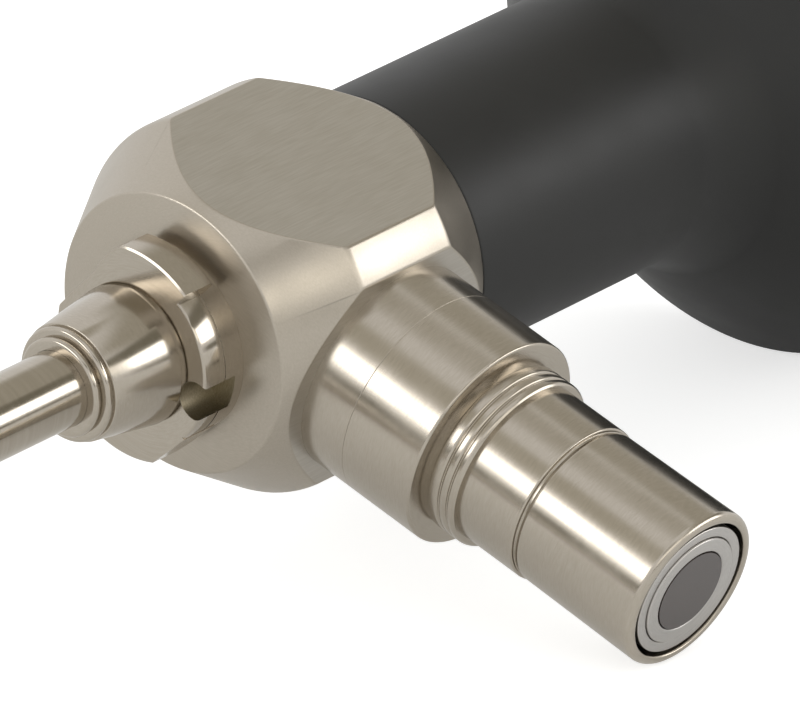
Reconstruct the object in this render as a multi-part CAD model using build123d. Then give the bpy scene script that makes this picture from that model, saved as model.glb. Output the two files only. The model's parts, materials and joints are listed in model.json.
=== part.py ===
from build123d import *
import os
from math import asin, atan, atan2, cos, degrees, hypot, sin, sqrt

# A rigid rod-lens endoscope, lying as it comes to rest on a flat surface.
# Every piece is drawn in the instrument's own frame: X runs along the optical axis from the
# shaft's tip to the eyepiece, the origin is where the light post's axis crosses it, the post
# points along -Y and the ground flat on the body faces +Z. Lengths are in millimetres.
# The last step turns and lifts all pieces together onto the surface.

# Clearances
slip = 0.02

# Shaft
shaft_diameter = 4.0
shaft_wall = 0.18
working_length = 175.0
lens_tube_diameter = 2.8
lens_tube_wall = 0.12
shaft_root_diameter = 4.5

# Collar that carries the shaft
nose_length = 0.9
nose_front_diameter = 5.2
nose_rear_diameter = 6.0
bead_bevel = 0.3
collar_front_diameter = 6.2
collar_rear_diameter = 7.4
collar_length = 4.3
collar_stem_diameter = 5.4
collar_relief_width = 0.2
collar_relief_depth = 0.2

# Bayonet ring for a sheath
ring_length = 2.8
hub_diameter = 10.0
hub_line_depth = 0.08
hub_line_width = 0.12
lug_diameter = 11.5
lug_length = 2.2
lug_rear_chamfer = 0.35
upper_lug_angles = (-50.0, 25.0)
lower_lug_angles = (100.0, 200.0)
ring_flat_angle = -62.4
ring_flat_distance = 4.28
index_hole_diameter = 2.1
index_hole_depth = 2.2
index_hole_distance = 4.5
ring_spigot_diameter = 7.0
ring_spigot_length = 3.4

# Body
body_diameter = 19.7
body_length = 14.6
body_face_diameter = 14.7
body_face_rise = 0.2
cone_length = 4.1
body_edge_bevel = 0.1
top_flat_distance = 7.7
post_flat_distance = 7.7
chamber_diameter = 12.0
front_wall = 4.3

# Light post
socket_diameter = 11.56
socket_length = 2.82
socket_spigot_diameter = 9.0
socket_spigot_margin = 0.2
collar_nut_length = 4.5
collar_nut_chamfer = 0.15
ridge_diameter = 9.5
ridge_section_length = 2.05
ridge_count = 3
ridge_groove_depth = 0.22
ridge_groove_width = 0.16
sleeve_diameter = 8.75
middle_sleeve_length = 3.76
end_sleeve_length = 7.82
sleeve_groove_width = 0.16
sleeve_groove_depth = 0.18
end_sleeve_bevel = 0.2
end_sleeve_bore = 7.64
end_bore_depth = 4.0
inner_sleeve_diameter = 7.2
inner_sleeve_recess = 0.1
ferrule_diameter = 6.0
bundle_diameter = 4.4
bundle_bend_radius = 2.0
bundle_bend_diameter = 3.0
bundle_head_thickness = 1.0
bundle_margin = 0.15

# Eyepiece
eyepiece_diameter = 15.0
eyepiece_tube_length = 18.9
eyecup_diameter = 32.0
eyecup_front_edge = 35.15
eyecup_rim_width = 3.4
eyecup_flare_round = 6.0
eyecup_rim_bevel = 0.4
eyecup_recess_mouth = 27.0
eyecup_recess_floor = 20.0
eyecup_recess_depth = 4.6
window_seat_diameter = 15.0
window_seat_depth = 2.0

# Optics and their mountings
coupling_wall = 1.2
coupling_length = 8.0
guide_thickness = 2.0
barrel_wall = 1.0
field_stop_thickness = 0.8
field_stop_aperture = 2.8
front_element_thickness = 3.0
rear_element_thickness = 1.6
element_curve_radius = 9.0
barrel_ring_length = 2.0
eyepiece_window_thickness = 1.2
window_ring_bore = 11.0
spanner_slot_width = 1.0
spanner_slot_depth = 0.3
tip_window_thickness = 0.5
objective_gap = 0.3
front_objective_thickness = 1.0
rear_objective_thickness = 2.4
objective_curve_radius = 1.6
rod_count = 6
rod_length = 28.4
rod_spacer_length = 2.0
rod_spacer_wall = 0.2

# A quarter of a full turn, in degrees: the light post points that far clockwise from the optical axis
quarter_turn = 90.0

# The eyepiece takes the same coupling as the body, with play
eyepiece_bore = chamber_diameter + 2 * slip

# The light post's spigot ends in the body's wall, a margin short of the chamber
socket_spigot_length = post_flat_distance - chamber_diameter / 2 - socket_spigot_margin

# Places along the optical axis
body_front = -body_length / 2
body_rear = body_length / 2
ring_seat = body_front - body_face_rise
ring_front = ring_seat - ring_length
collar_nose = ring_front - collar_length - nose_length
shaft_tip = collar_nose - working_length
chamber_front = body_front + front_wall
rim_rear = eyecup_front_edge + eyecup_rim_width
recess_floor = rim_rear - eyecup_recess_depth
window_seat = recess_floor - window_seat_depth

# Places along the light post, measured from the optical axis
socket_end = post_flat_distance + socket_length
nut_end = socket_end + collar_nut_length
ridge_end = nut_end + ridge_section_length
middle_end = ridge_end + middle_sleeve_length
post_end = middle_end + end_sleeve_length


def turned(outline, bevels=(), rounds=()):
    """A solid turned about the X axis from (along, radius) points.

    bevels and rounds hold the corners to break, each as (point, size).
    """
    profile = make_face(Polyline(*outline, close=True))
    for cut, corners in ((chamfer, bevels), (fillet, rounds)):
        for corner, size in corners:
            near = profile.vertices().sort_by_distance(Vector(*corner))[0]
            profile = cut(near, size)
    return revolve(profile, Axis.X)


def ring(start, end, outer, inner=0.0):
    """A plain disc or tube about the X axis between two places, from its two diameters."""
    return turned([(start, inner / 2), (start, outer / 2), (end, outer / 2), (end, inner / 2)])


def bored(solid, start, end, diameter):
    """The solid with a round hole about the X axis."""
    return solid - ring(start, end, diameter)


def on_post(solid):
    """A piece turned about X, swung round so that its length runs out along the light post."""
    return solid.rotate(Axis.Z, -quarter_turn)


def part_turned(outline, first, last):
    """An outline turned through only part of a circle.

    The angles are in degrees, counted from +Z towards the light post.
    """
    profile = make_face(Polyline(*outline, close=True))
    piece = revolve(profile, Axis.X, revolution_arc=last - first)
    return piece.rotate(Axis.X, first + quarter_turn)


def spanner_slotted(solid, face):
    """A retaining ring with a slot for a spanner across the face at the given place."""
    slot = Box(2 * spanner_slot_depth, 2 * eyecup_diameter, spanner_slot_width)
    return solid - slot.moved(Location((face, 0, 0)))


def shaft_tube():
    """The steel tube, with the thicker root that is brazed into the collar."""
    outer, root = shaft_diameter / 2, shaft_root_diameter / 2
    inner = outer - shaft_wall
    outline = [(shaft_tip, inner), (shaft_tip, outer), (collar_nose, outer)]
    outline += [(collar_nose, root), (chamber_front, root), (chamber_front, inner)]
    return turned(outline)


def lens_tube():
    inner = lens_tube_diameter - 2 * lens_tube_wall
    return ring(shaft_tip, guide_rear(), lens_tube_diameter, inner)


def guide_rear():
    """Where the lens tube ends, flush with the rear face of its guide."""
    return body_rear - coupling_seat() + guide_thickness


def coupling_seat():
    """How far the eyepiece coupling reaches into the body."""
    return coupling_length / 2


def lens_tube_guide():
    front = guide_rear() - guide_thickness
    return ring(front, guide_rear(), chamber_diameter - 2 * slip, lens_tube_diameter + 2 * slip)


def shaft_collar():
    """The nose with its two beads, the tapered collar and the stem that the bayonet ring fits."""
    bore, stem = shaft_root_diameter / 2 + slip, collar_stem_diameter / 2
    front, rear = nose_front_diameter / 2, nose_rear_diameter / 2
    cone_front, cone_rear = collar_front_diameter / 2, collar_rear_diameter / 2
    middle = collar_nose + nose_length / 2
    end = collar_nose + nose_length
    relief, low = ring_front - collar_relief_width, cone_rear - collar_relief_depth
    outline = [(collar_nose, bore), (collar_nose, front), (middle, front)]
    outline += [(middle, rear), (end, rear), (end, cone_front)]
    outline += [(relief, cone_rear), (relief, low), (ring_front, low), (ring_front, stem)]
    outline += [(chamber_front, stem), (chamber_front, bore)]
    return turned(outline, bevels=[((collar_nose, front), bead_bevel), ((middle, rear), bead_bevel)])


def lug(angles):
    """One bayonet lug: part of an outer ring, chamfered towards the body."""
    outer, inner = lug_diameter / 2, hub_diameter / 2 - slip
    rear = ring_front + lug_length
    cham = lug_rear_chamfer
    outline = [(ring_front, inner), (ring_front, outer), (rear - cham, outer)]
    outline += [(rear, outer - cham), (rear, inner)]
    return part_turned(outline, *angles)


def ring_flat():
    """What the mill takes off the ring's far side, as deep along the axis as the lugs."""
    block = Box(lug_length, 2 * lug_diameter, lug_diameter)
    place = Location((ring_front + lug_length / 2, 0, ring_flat_distance + lug_diameter / 2))
    return block.moved(place).rotate(Axis.X, ring_flat_angle)


def bayonet_ring():
    """Hub and spigot with two lugs, the milled flat and the index hole in line with the post."""
    hub, bore = hub_diameter / 2, collar_stem_diameter / 2 + slip
    spigot = ring_spigot_diameter / 2 - slip
    spigot_end = ring_seat + ring_spigot_length
    line = ring_front + ring_length / 2
    outline = [(ring_front, bore), (ring_front, hub), (line, hub)]
    outline += [(line, hub - hub_line_depth), (line + hub_line_width, hub - hub_line_depth)]
    outline += [(line + hub_line_width, hub), (ring_seat, hub), (ring_seat, spigot)]
    outline += [(spigot_end, spigot), (spigot_end, bore)]
    solid = turned(outline) + lug(upper_lug_angles) + lug(lower_lug_angles)
    hole = ring(ring_front, ring_front + index_hole_depth, index_hole_diameter)
    return solid - ring_flat() - hole.moved(Location((0, -index_hole_distance, 0)))


def body_housing():
    """The body: a drum with coned ends, two ground flats, a fibre chamber and three bores."""
    outer, face = body_diameter / 2, body_face_diameter / 2
    seat = ring_spigot_diameter / 2
    rear = eyepiece_diameter / 2
    outline = [(ring_seat, seat), (ring_seat, hub_diameter / 2), (body_front, face)]
    outline += [(body_front + cone_length, outer), (body_rear - cone_length, outer)]
    outline += [(body_rear, rear), (body_rear, seat)]
    solid = turned(outline, bevels=[(corner, body_edge_bevel) for corner in outline[2:5]])
    slab = 2 * outer
    top = Box(slab, slab, slab).moved(Location((0, 0, top_flat_distance + slab / 2)))
    side = Box(slab, slab, slab).moved(Location((0, -post_flat_distance - slab / 2, 0)))
    solid = solid - top - side
    solid = bored(solid, chamber_front, body_rear, chamber_diameter)
    return solid - on_post(ring(0, post_flat_distance, socket_spigot_diameter))


def light_guide_fibres():
    """The fibres: a sleeve round the lens tube, a gathered head, a bend and the post's core."""
    outer = shaft_diameter - 2 * shaft_wall - 2 * slip
    inner = lens_tube_diameter + 2 * slip
    bend, small = bundle_bend_radius, bundle_bend_diameter / 2
    head_end = chamber_front + bundle_head_thickness
    offset = inner / 2 + small + bundle_margin
    sleeve = ring(shaft_tip, head_end, outer, inner)
    head = ring(chamber_front, head_end, 2 * (offset + small + bundle_margin), inner)
    arc = CenterArc((head_end, -offset - bend, 0), bend, 90, -90)
    elbow = sweep(Plane((head_end, -offset, 0), z_dir=(1, 0, 0)) * Circle(small), path=arc)
    core = on_post(ring(offset + bend, post_end, bundle_diameter))
    return sleeve + head + elbow + core.moved(Location((head_end + bend, 0, 0)))


def post_socket():
    """The fixed root of the light post, seated on its flat with a spigot in the body."""
    bore, spigot = ferrule_diameter + 2 * slip, socket_spigot_diameter - 2 * slip
    inside = post_flat_distance - socket_spigot_length
    root = ring(post_flat_distance, socket_end, socket_diameter, bore)
    return on_post(root + ring(inside, post_flat_distance, spigot, bore))


def post_collar_nut():
    """The plain nut in line with the socket, with its ridged nose."""
    bore = inner_sleeve_diameter / 2 + slip
    outer, ridge = socket_diameter / 2, ridge_diameter / 2
    cham = collar_nut_chamfer
    outline = [(socket_end, bore), (socket_end, outer), (nut_end - cham, outer)]
    outline += [(nut_end, outer - cham), (nut_end, ridge)]
    pitch = ridge_section_length / ridge_count
    for i in range(1, ridge_count):
        place = nut_end + i * pitch
        low = ridge - ridge_groove_depth
        half = ridge_groove_width / 2
        outline += [(place - half, ridge), (place - half / 2, low), (place + half / 2, low)]
        outline += [(place + half, ridge)]
    outline += [(ridge_end, ridge), (ridge_end, bore)]
    return on_post(turned(outline))


def middle_sleeve():
    bore, outer = inner_sleeve_diameter / 2 + slip, sleeve_diameter / 2
    half, low = sleeve_groove_width / 2, sleeve_diameter / 2 - sleeve_groove_depth
    outline = [(ridge_end, bore), (ridge_end, outer), (middle_end - half, outer)]
    outline += [(middle_end - half, low), (middle_end, low), (middle_end, bore)]
    return on_post(turned(outline))


def end_sleeve():
    bore, outer = inner_sleeve_diameter / 2 + slip, sleeve_diameter / 2
    half, low = sleeve_groove_width / 2, sleeve_diameter / 2 - sleeve_groove_depth
    wide = end_sleeve_bore / 2
    step = post_end - end_bore_depth
    outline = [(middle_end, bore), (middle_end, low), (middle_end + half, low)]
    outline += [(middle_end + half, outer), (post_end, outer), (post_end, wide)]
    outline += [(step, wide), (step, bore)]
    return on_post(turned(outline, bevels=[((post_end, outer), end_sleeve_bevel)]))


def inner_sleeve():
    end = post_end - inner_sleeve_recess
    bore = ferrule_diameter + 2 * slip
    return on_post(ring(socket_end, end, inner_sleeve_diameter, bore))


def fibre_ferrule():
    inside = post_flat_distance - socket_spigot_length
    return on_post(ring(inside, post_end, ferrule_diameter, bundle_diameter + 2 * slip))


def eyepiece_housing():
    """The black tube that flares into the eyecup, in one piece, with the seats inside."""
    tube, cup = eyepiece_diameter / 2, eyecup_diameter / 2
    bore, seat = eyepiece_bore / 2, window_seat_diameter / 2
    flare = body_rear + eyepiece_tube_length
    outline = [(body_rear, bore), (body_rear, tube), (flare, tube)]
    outline += [(eyecup_front_edge, cup), (rim_rear, cup)]
    outline += [(rim_rear, eyecup_recess_mouth / 2), (recess_floor, eyecup_recess_floor / 2)]
    outline += [(recess_floor, seat), (window_seat, seat), (window_seat, bore)]
    rim = [(rim_rear, cup), (rim_rear, eyecup_recess_mouth / 2)]
    bevels = [(corner, eyecup_rim_bevel) for corner in rim]
    return turned(outline, bevels, rounds=[((flare, tube), eyecup_flare_round)])


def eyepiece_coupling():
    """The threaded ring that joins the eyepiece to the body."""
    outer = chamber_diameter - 2 * slip
    start = guide_rear()
    return ring(start, body_rear + coupling_seat(), outer, outer - 2 * coupling_wall)


def ocular_barrel():
    start = body_rear + coupling_seat()
    outer = eyepiece_bore - 2 * slip
    return ring(start, window_seat, outer, outer - 2 * barrel_wall)


def barrel_bore():
    return eyepiece_bore - 2 * slip - 2 * barrel_wall - 2 * slip


def field_stop():
    start = body_rear + coupling_seat() + field_stop_thickness
    return ring(start, start + field_stop_thickness, barrel_bore(), field_stop_aperture)


def ocular_rear_face():
    return window_seat - barrel_ring_length


def ocular_joint():
    """The cemented curve between the two elements: its place on the axis, at its edge, and its reach."""
    vertex = ocular_rear_face() - rear_element_thickness
    curve, reach = element_curve_radius, barrel_bore() / 2
    return vertex, vertex - curve + sqrt(curve * curve - reach * reach), reach


def ocular_element(flat):
    """One element of the cemented pair, from the curved joint to its flat side."""
    vertex, edge, reach = ocular_joint()
    arc = RadiusArc((vertex, 0), (edge, reach), -element_curve_radius)
    sides = Polyline((edge, reach), (flat, reach), (flat, 0), (vertex, 0))
    return revolve(make_face([arc, sides]), Axis.X)


def ocular_front_element():
    edge = ocular_joint()[1]
    return ocular_element(edge - front_element_thickness)


def ocular_rear_element():
    return ocular_element(ocular_rear_face())


def ocular_retaining_ring():
    plain = ring(ocular_rear_face(), window_seat, barrel_bore(), barrel_bore() - 2 * barrel_wall)
    return spanner_slotted(plain, window_seat)


def eyepiece_window():
    outer = window_seat_diameter - 2 * slip
    return ring(window_seat, window_seat + eyepiece_window_thickness, outer)


def window_retaining_ring():
    outer = window_seat_diameter - 2 * slip
    start = window_seat + eyepiece_window_thickness
    return spanner_slotted(ring(start, recess_floor, outer, window_ring_bore), recess_floor)


def lens_bore():
    return lens_tube_diameter - 2 * lens_tube_wall - 2 * slip


def distal_window():
    return ring(shaft_tip, shaft_tip + tip_window_thickness, lens_bore())


def objective_front_lens():
    """A plano-concave lens with its hollow towards the eyepiece."""
    start = shaft_tip + tip_window_thickness + slip
    rear = start + front_objective_thickness
    reach, curve = lens_bore() / 2, objective_curve_radius
    rise = curve - sqrt(curve * curve - reach * reach)
    arc = RadiusArc((rear - rise, 0), (rear, reach), -curve)
    sides = Polyline((rear, reach), (start, reach), (start, 0), (rear - rise, 0))
    return revolve(make_face([arc, sides]), Axis.X)


def objective_rear_lens():
    start = shaft_tip + tip_window_thickness + slip + front_objective_thickness + objective_gap
    return ring(start, start + rear_objective_thickness, lens_bore())


def train_start():
    """Where the first spacer of the rod-lens train begins."""
    lead = tip_window_thickness + slip + front_objective_thickness + objective_gap
    return shaft_tip + lead + rear_objective_thickness


def rod_lens(index):
    pitch = rod_length + rod_spacer_length
    start = train_start() + rod_spacer_length + index * pitch
    return ring(start, start + rod_length, lens_bore())


def rod_spacer(index):
    pitch = rod_length + rod_spacer_length
    start = train_start() + index * pitch
    return ring(start, start + rod_spacer_length, lens_bore(), lens_bore() - 2 * rod_spacer_wall)


def all_pieces():
    """Every piece of the instrument by name, in the instrument's own frame."""
    pieces = {
        "outer_shaft_tube": shaft_tube(),
        "lens_tube": lens_tube(),
        "lens_tube_guide": lens_tube_guide(),
        "light_guide_fibres": light_guide_fibres(),
        "shaft_collar": shaft_collar(),
        "bayonet_ring": bayonet_ring(),
        "body_housing": body_housing(),
        "post_socket": post_socket(),
        "post_collar_nut": post_collar_nut(),
        "middle_sleeve": middle_sleeve(),
        "end_sleeve": end_sleeve(),
        "inner_sleeve": inner_sleeve(),
        "fibre_ferrule": fibre_ferrule(),
        "eyepiece_housing": eyepiece_housing(),
        "eyepiece_coupling": eyepiece_coupling(),
        "ocular_barrel": ocular_barrel(),
        "field_stop": field_stop(),
        "ocular_front_element": ocular_front_element(),
        "ocular_rear_element": ocular_rear_element(),
        "ocular_retaining_ring": ocular_retaining_ring(),
        "eyepiece_window": eyepiece_window(),
        "window_retaining_ring": window_retaining_ring(),
        "distal_window": distal_window(),
        "objective_front_lens": objective_front_lens(),
        "objective_rear_lens": objective_rear_lens(),
    }
    for index in range(rod_count):
        pieces[f"rod_lens_{index + 1}"] = rod_lens(index)
        pieces[f"rod_spacer_{index + 1}"] = rod_spacer(index)
    return pieces


def resting_angles():
    """Pitch and roll that put the eyecup's front edge, the shaft's tip and the post's end down."""
    fall = (eyecup_diameter - shaft_diameter) / 2
    pitch = atan2(fall, eyecup_front_edge - shaft_tip)
    height = eyecup_diameter / 2 * cos(pitch) - eyecup_front_edge * sin(pitch)
    reach, radius = post_end, sleeve_diameter / 2
    dip = asin(height / hypot(reach, radius)) - atan(radius / reach)
    roll = asin(sin(dip) / cos(pitch))
    return degrees(pitch), degrees(roll)


def laid_down(pieces):
    """All pieces turned together onto the surface, centred over the origin."""
    pitch, roll = resting_angles()
    turned_over = {n: s.rotate(Axis.X, roll).rotate(Axis.Y, -pitch) for n, s in pieces.items()}
    boxes = [s.bounding_box() for s in turned_over.values()]
    middle_x = (min(b.min.X for b in boxes) + max(b.max.X for b in boxes)) / 2
    middle_y = (min(b.min.Y for b in boxes) + max(b.max.Y for b in boxes)) / 2
    lowest = min(b.min.Z for b in boxes)
    print("pitch", round(pitch, 5), "roll", round(roll, 5))
    print("axis crossing at", round(-middle_x, 5), round(-middle_y, 5), round(-lowest, 5))
    shift = Location((-middle_x, -middle_y, -lowest))
    return {n: s.moved(shift) for n, s in turned_over.items()}


os.makedirs("parts", exist_ok=True)
for name, solid in laid_down(all_pieces()).items():
    export_step(solid, f"parts/{name}.step")
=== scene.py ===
"""The looks of a rigid endoscope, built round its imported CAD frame.

Every piece is drawn in the instrument's own frame in millimetres: X runs along the optical axis
from the shaft's tip to the eyepiece, the light post points along -Y, and the ground flat on the
body faces +Z. The frame's mounts say where that instrument frame lies, and each finished mesh is
carried there, in metres.
"""

import json
import logging
import math
from dataclasses import dataclass
from enum import Enum

import bmesh
import bpy
from bmesh.types import BMesh
from bpy.types import Material, Node, NodeSocket, NodeTree, Object
from mathutils import Matrix, Vector


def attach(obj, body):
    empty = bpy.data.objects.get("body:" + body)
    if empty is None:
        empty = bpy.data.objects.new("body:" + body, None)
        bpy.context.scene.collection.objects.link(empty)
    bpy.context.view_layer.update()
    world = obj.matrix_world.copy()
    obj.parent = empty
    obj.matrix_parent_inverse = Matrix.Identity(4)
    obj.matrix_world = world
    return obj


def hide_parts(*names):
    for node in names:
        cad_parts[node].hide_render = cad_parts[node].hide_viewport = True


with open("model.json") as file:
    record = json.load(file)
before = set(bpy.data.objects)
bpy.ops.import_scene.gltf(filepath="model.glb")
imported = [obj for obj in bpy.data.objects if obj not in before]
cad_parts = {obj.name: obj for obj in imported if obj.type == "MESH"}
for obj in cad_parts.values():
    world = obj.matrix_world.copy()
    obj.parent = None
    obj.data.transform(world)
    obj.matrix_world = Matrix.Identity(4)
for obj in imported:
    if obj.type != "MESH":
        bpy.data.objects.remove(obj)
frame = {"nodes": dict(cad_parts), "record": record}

log = logging.getLogger("endoscope")

MILLIMETRE = 0.001
BODY = "root"
GRAIN_MAP = "grain"
CARD_MAP = "card"
NOISE_RANGE = (0.3, 0.7)
GRAIN_RADIUS = 5.0
SAME_WAY = 0.999
WELD = 0.0005
CUT_REACH = 1.0
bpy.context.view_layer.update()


class Line(Enum):
    """The two lines that pieces are turned about."""

    OPTICAL = "along the shaft"
    POST = "along the light post"


class Join(Enum):
    """How one solid is combined with another."""

    ADD = "UNION"
    TAKE_AWAY = "DIFFERENCE"


@dataclass(frozen=True)
class Corner:
    """One corner of an outline for the lathe, in millimetres; edge is how far it is broken."""

    along: float
    radius: float
    edge: float = 0.0
    segments: int = 4


class Instrument:
    """The instrument's own frame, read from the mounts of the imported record."""

    def __init__(self, record: dict) -> None:
        """Finds the two axes and where they cross.

        Args:
            record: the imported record, whose mounts name the shaft and the light post's end.
        """
        mounts = {mount["name"]: mount for mount in record["mounts"]}
        shaft, post = mounts["shaft"], mounts["light_post_end"]
        optical = -Vector(shaft["axis"]).normalized()
        across = -Vector(post["axis"]).normalized()
        up = optical.cross(across).normalized()
        apart = Vector(post["pos_m"]) - Vector(shaft["pos_m"])
        self.crossing = Vector(shaft["pos_m"]) + optical * apart.dot(optical)
        turn = Matrix((optical, across, up)).transposed().to_4x4()
        scale = Matrix.Scale(MILLIMETRE, 4)
        self.optical = Matrix.Translation(self.crossing) @ turn @ scale
        self.post = self.optical @ Matrix.Rotation(-math.pi / 2, 4, "Z")

    def place(self, line: Line) -> Matrix:
        """The matrix from millimetres along a line to metres in the row's frame."""
        return self.optical if line is Line.OPTICAL else self.post


INSTRUMENT = Instrument(frame["record"])


def linear(hex_colour: str) -> tuple[float, float, float, float]:
    """Turns an sRGB hex colour into the linear values that Blender's shaders take.

    Args:
        hex_colour: six hex digits, with or without the leading mark.

    Returns:
        Red, green and blue, linear, and a full alpha.
    """
    digits = hex_colour.lstrip("#")
    channels = (int(digits[i : i + 2], 16) / 255 for i in (0, 2, 4))
    red, green, blue = (c / 12.92 if c <= 0.04045 else ((c + 0.055) / 1.055) ** 2.4 for c in channels)
    return red, green, blue, 1.0


def add_node(tree: NodeTree, kind: str, inputs: dict | None = None, **settings) -> Node:
    """Adds one shader node with its settings, and feeds its inputs.

    Args:
        tree: the node tree to add to.
        kind: the node's type name.
        inputs: by input name or number, a value to set or an output socket to link.
        settings: the node's own fields.

    Returns:
        The new node.
    """
    node = tree.nodes.new(kind)
    for name, value in settings.items():
        setattr(node, name, value)
    for key, value in (inputs or {}).items():
        if isinstance(value, NodeSocket):
            tree.links.new(value, node.inputs[key])
        else:
            node.inputs[key].default_value = value
    return node


def spread_between(tree: NodeTree, noise: NodeSocket, low: float = 0.0, high: float = 1.0) -> NodeSocket:
    """Stretches the useful part of a noise to a range.

    Args:
        tree: the material's node tree.
        noise: the noise, which mostly lies in NOISE_RANGE.
        low: what its low end becomes.
        high: what its high end becomes.

    Returns:
        The stretched value.
    """
    ends = {"From Min": NOISE_RANGE[0], "From Max": NOISE_RANGE[1], "To Min": low, "To Max": high}
    return add_node(tree, "ShaderNodeMapRange", {"Value": noise, **ends}).outputs[0]


def blended(tree: NodeTree, share: NodeSocket, first: str, second: str) -> NodeSocket:
    """A colour between two hex colours, by a share from 0 to 1."""
    colours = {0: share, 6: linear(first), 7: linear(second)}
    return add_node(tree, "ShaderNodeMix", colours, data_type="RGBA").outputs[2]


def empty_material(name: str) -> Material:
    """A new material whose node tree is empty."""
    material = bpy.data.materials.new(name)
    material.use_nodes = True
    material.node_tree.nodes.clear()
    return material


class Finish:
    """A surface finish. Each one builds its material once and hands it out after that."""

    made: dict = {}

    def material(self) -> Material:
        """The finish as a material, built the first time that it is asked for."""
        if self not in Finish.made:
            material = empty_material(self.name)
            tree = material.node_tree
            shader = add_node(tree, "ShaderNodeBsdfPrincipled", self.surface(tree))
            add_node(tree, "ShaderNodeOutputMaterial", {0: shader.outputs[0]})
            Finish.made[self] = material
        return Finish.made[self]

    def millimetres(self, tree: NodeTree) -> NodeSocket:
        """Object coordinates as millimetres: x along this finish's line, y and z across it."""
        where, turn, scale = INSTRUMENT.place(self.line).decompose()
        object_place = add_node(tree, "ShaderNodeTexCoord").outputs["Object"]
        settings = {"Vector": object_place, "Location": where, "Rotation": turn.to_euler(), "Scale": scale}
        return add_node(tree, "ShaderNodeMapping", settings, vector_type="TEXTURE").outputs[0]

    def round_the_line(self, tree: NodeTree, place: NodeSocket) -> NodeSocket:
        """Where a point lies in the lathe's terms, for marks that run round a turned piece.

        Args:
            tree: the material's node tree.
            place: the plain millimetres.

        Returns:
            The place along the line and the distance from it, with some of the way round by the
            finish's drift, so that a noise runs in rings on cylinders, cones and end faces alike.
        """
        parts = add_node(tree, "ShaderNodeSeparateXYZ", {0: place})
        ends = {1: parts.outputs[1], 2: parts.outputs[2]}
        across = add_node(tree, "ShaderNodeCombineXYZ", ends).outputs[0]
        away = add_node(tree, "ShaderNodeVectorMath", {0: across}, operation="LENGTH").outputs["Value"]
        around = add_node(tree, "ShaderNodeVectorMath", {0: across, "Scale": self.drift}, operation="SCALE")
        rings = add_node(tree, "ShaderNodeCombineXYZ", {0: parts.outputs[0], 1: away})
        both = {0: rings.outputs[0], 1: around.outputs[0]}
        return add_node(tree, "ShaderNodeVectorMath", both, operation="ADD").outputs[0]

    def gloss(self, tree: NodeTree, noise: NodeSocket) -> NodeSocket:
        """The roughness, which strays from its middle by half its spread as a noise goes."""
        half = self.roughness_spread / 2
        return spread_between(tree, noise, self.roughness - half, self.roughness + half)


class MarkedSteel(Finish):
    """What turned and ground steel share: fine marks one way, and broad clouds of gloss."""

    def surface(self, tree: NodeTree) -> dict:
        """The shader's inputs. The grain map says which way the reflections are drawn out."""
        place = self.millimetres(tree)
        marks = add_node(tree, "ShaderNodeTexNoise", self.marks(tree, place)).outputs[0]
        clouds = {"Vector": place, "Scale": self.cloud_scale, "Detail": self.cloud_detail}
        broad = add_node(tree, "ShaderNodeTexNoise", clouds).outputs[0]
        height = {"Height": marks, "Distance": self.mark_height * MILLIMETRE, "Strength": 1.0}
        grain = add_node(tree, "ShaderNodeTangent", direction_type="UV_MAP", uv_map=GRAIN_MAP)
        return {
            "Base Color": blended(tree, spread_between(tree, marks), self.colour, self.shade),
            "Metallic": 1.0,
            "Roughness": self.gloss(tree, broad),
            "Anisotropic": self.anisotropy,
            "Normal": add_node(tree, "ShaderNodeBump", height).outputs[0],
            "Tangent": grain.outputs[0],
        }


@dataclass(frozen=True)
class TurnedSteel(MarkedSteel):
    """Stainless steel as the lathe and a polishing cloth leave it.

    The eye sees a warm grey metal whose reflections are drawn out along the piece, with fine
    rings from the tool and slow changes of gloss.
    """

    name: str
    line: Line = Line.OPTICAL
    colour: str = "#B6AEA2"
    shade: str = "#AEA699"
    roughness: float = 0.2
    roughness_spread: float = 0.08
    anisotropy: float = 0.5
    ring_spacing: float = 0.06
    mark_height: float = 0.0002
    drift: float = 0.2
    cloud_scale: float = 0.35
    cloud_detail: float = 5.0

    def marks(self, tree: NodeTree, place: NodeSocket) -> dict:
        """The inputs of a noise that runs in the tool's fine rings."""
        return {"Vector": self.round_the_line(tree, place), "Scale": 1 / self.ring_spacing, "Detail": 3.0}


@dataclass(frozen=True)
class GroundSteel(MarkedSteel):
    """Stainless steel with a flat ground by a fine wheel.

    The eye sees an even satin surface with short soft streaks all in one direction.
    """

    name: str
    line: Line = Line.OPTICAL
    colour: str = "#BEB9B0"
    shade: str = "#B4AEA4"
    roughness: float = 0.34
    roughness_spread: float = 0.06
    anisotropy: float = 0.35
    streak_width: float = 0.08
    streak_length: float = 1.6
    mark_height: float = 0.0005
    cloud_scale: float = 0.5
    cloud_detail: float = 4.0

    def marks(self, tree: NodeTree, place: NodeSocket) -> dict:
        """The inputs of a noise that is drawn out into the wheel's streaks."""
        across = 1 / self.streak_width
        stretch = {"Vector": place, "Scale": (1 / self.streak_length, across, across)}
        streaks_at = add_node(tree, "ShaderNodeMapping", stretch).outputs[0]
        return {"Vector": streaks_at, "Scale": 1.0, "Detail": 4.0}


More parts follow.
